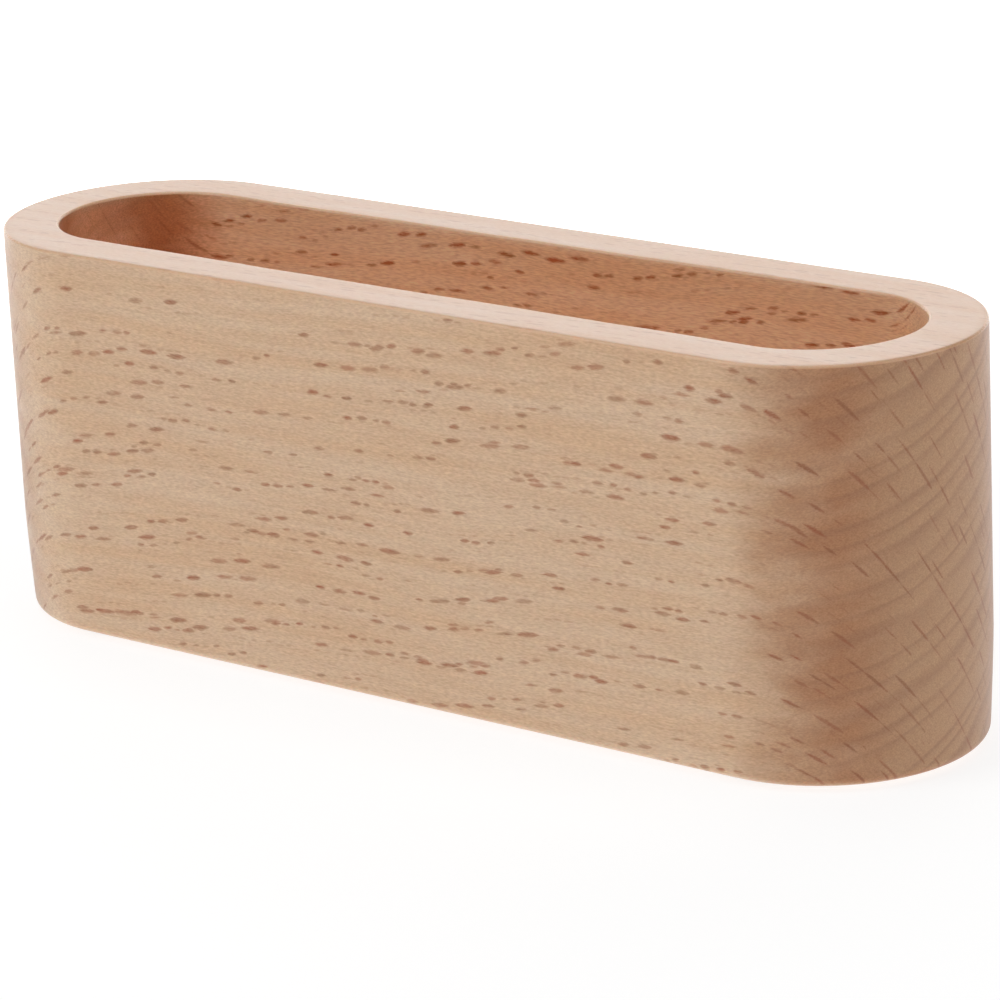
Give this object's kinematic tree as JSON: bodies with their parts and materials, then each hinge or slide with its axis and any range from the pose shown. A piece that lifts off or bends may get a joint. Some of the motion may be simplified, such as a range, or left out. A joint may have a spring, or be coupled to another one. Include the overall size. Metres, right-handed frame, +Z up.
{
  "type": "business card holder stand",
  "caption": "Beech desk block with round ends and a deep round-ended pocket that holds a standing stack of business cards, on small rubber feet.",
  "frame": {"origin": "on the desk surface, under the middle of the block", "axes": "+X along the block, +Y towards its back, +Z up out of the pocket"},
  "size_m": [0.11, 0.031, 0.04],
  "materials": {
    "beech": "sanded, clear matt oil",
    "foot_rubber": "moulded, matt"
  },
  "bodies": {
    "root": {"beech_block": "beech", "foot_front_left": "foot_rubber", "foot_front_right": "foot_rubber", "foot_rear_left": "foot_rubber", "foot_rear_right": "foot_rubber"}
  },
  "joints": []
}
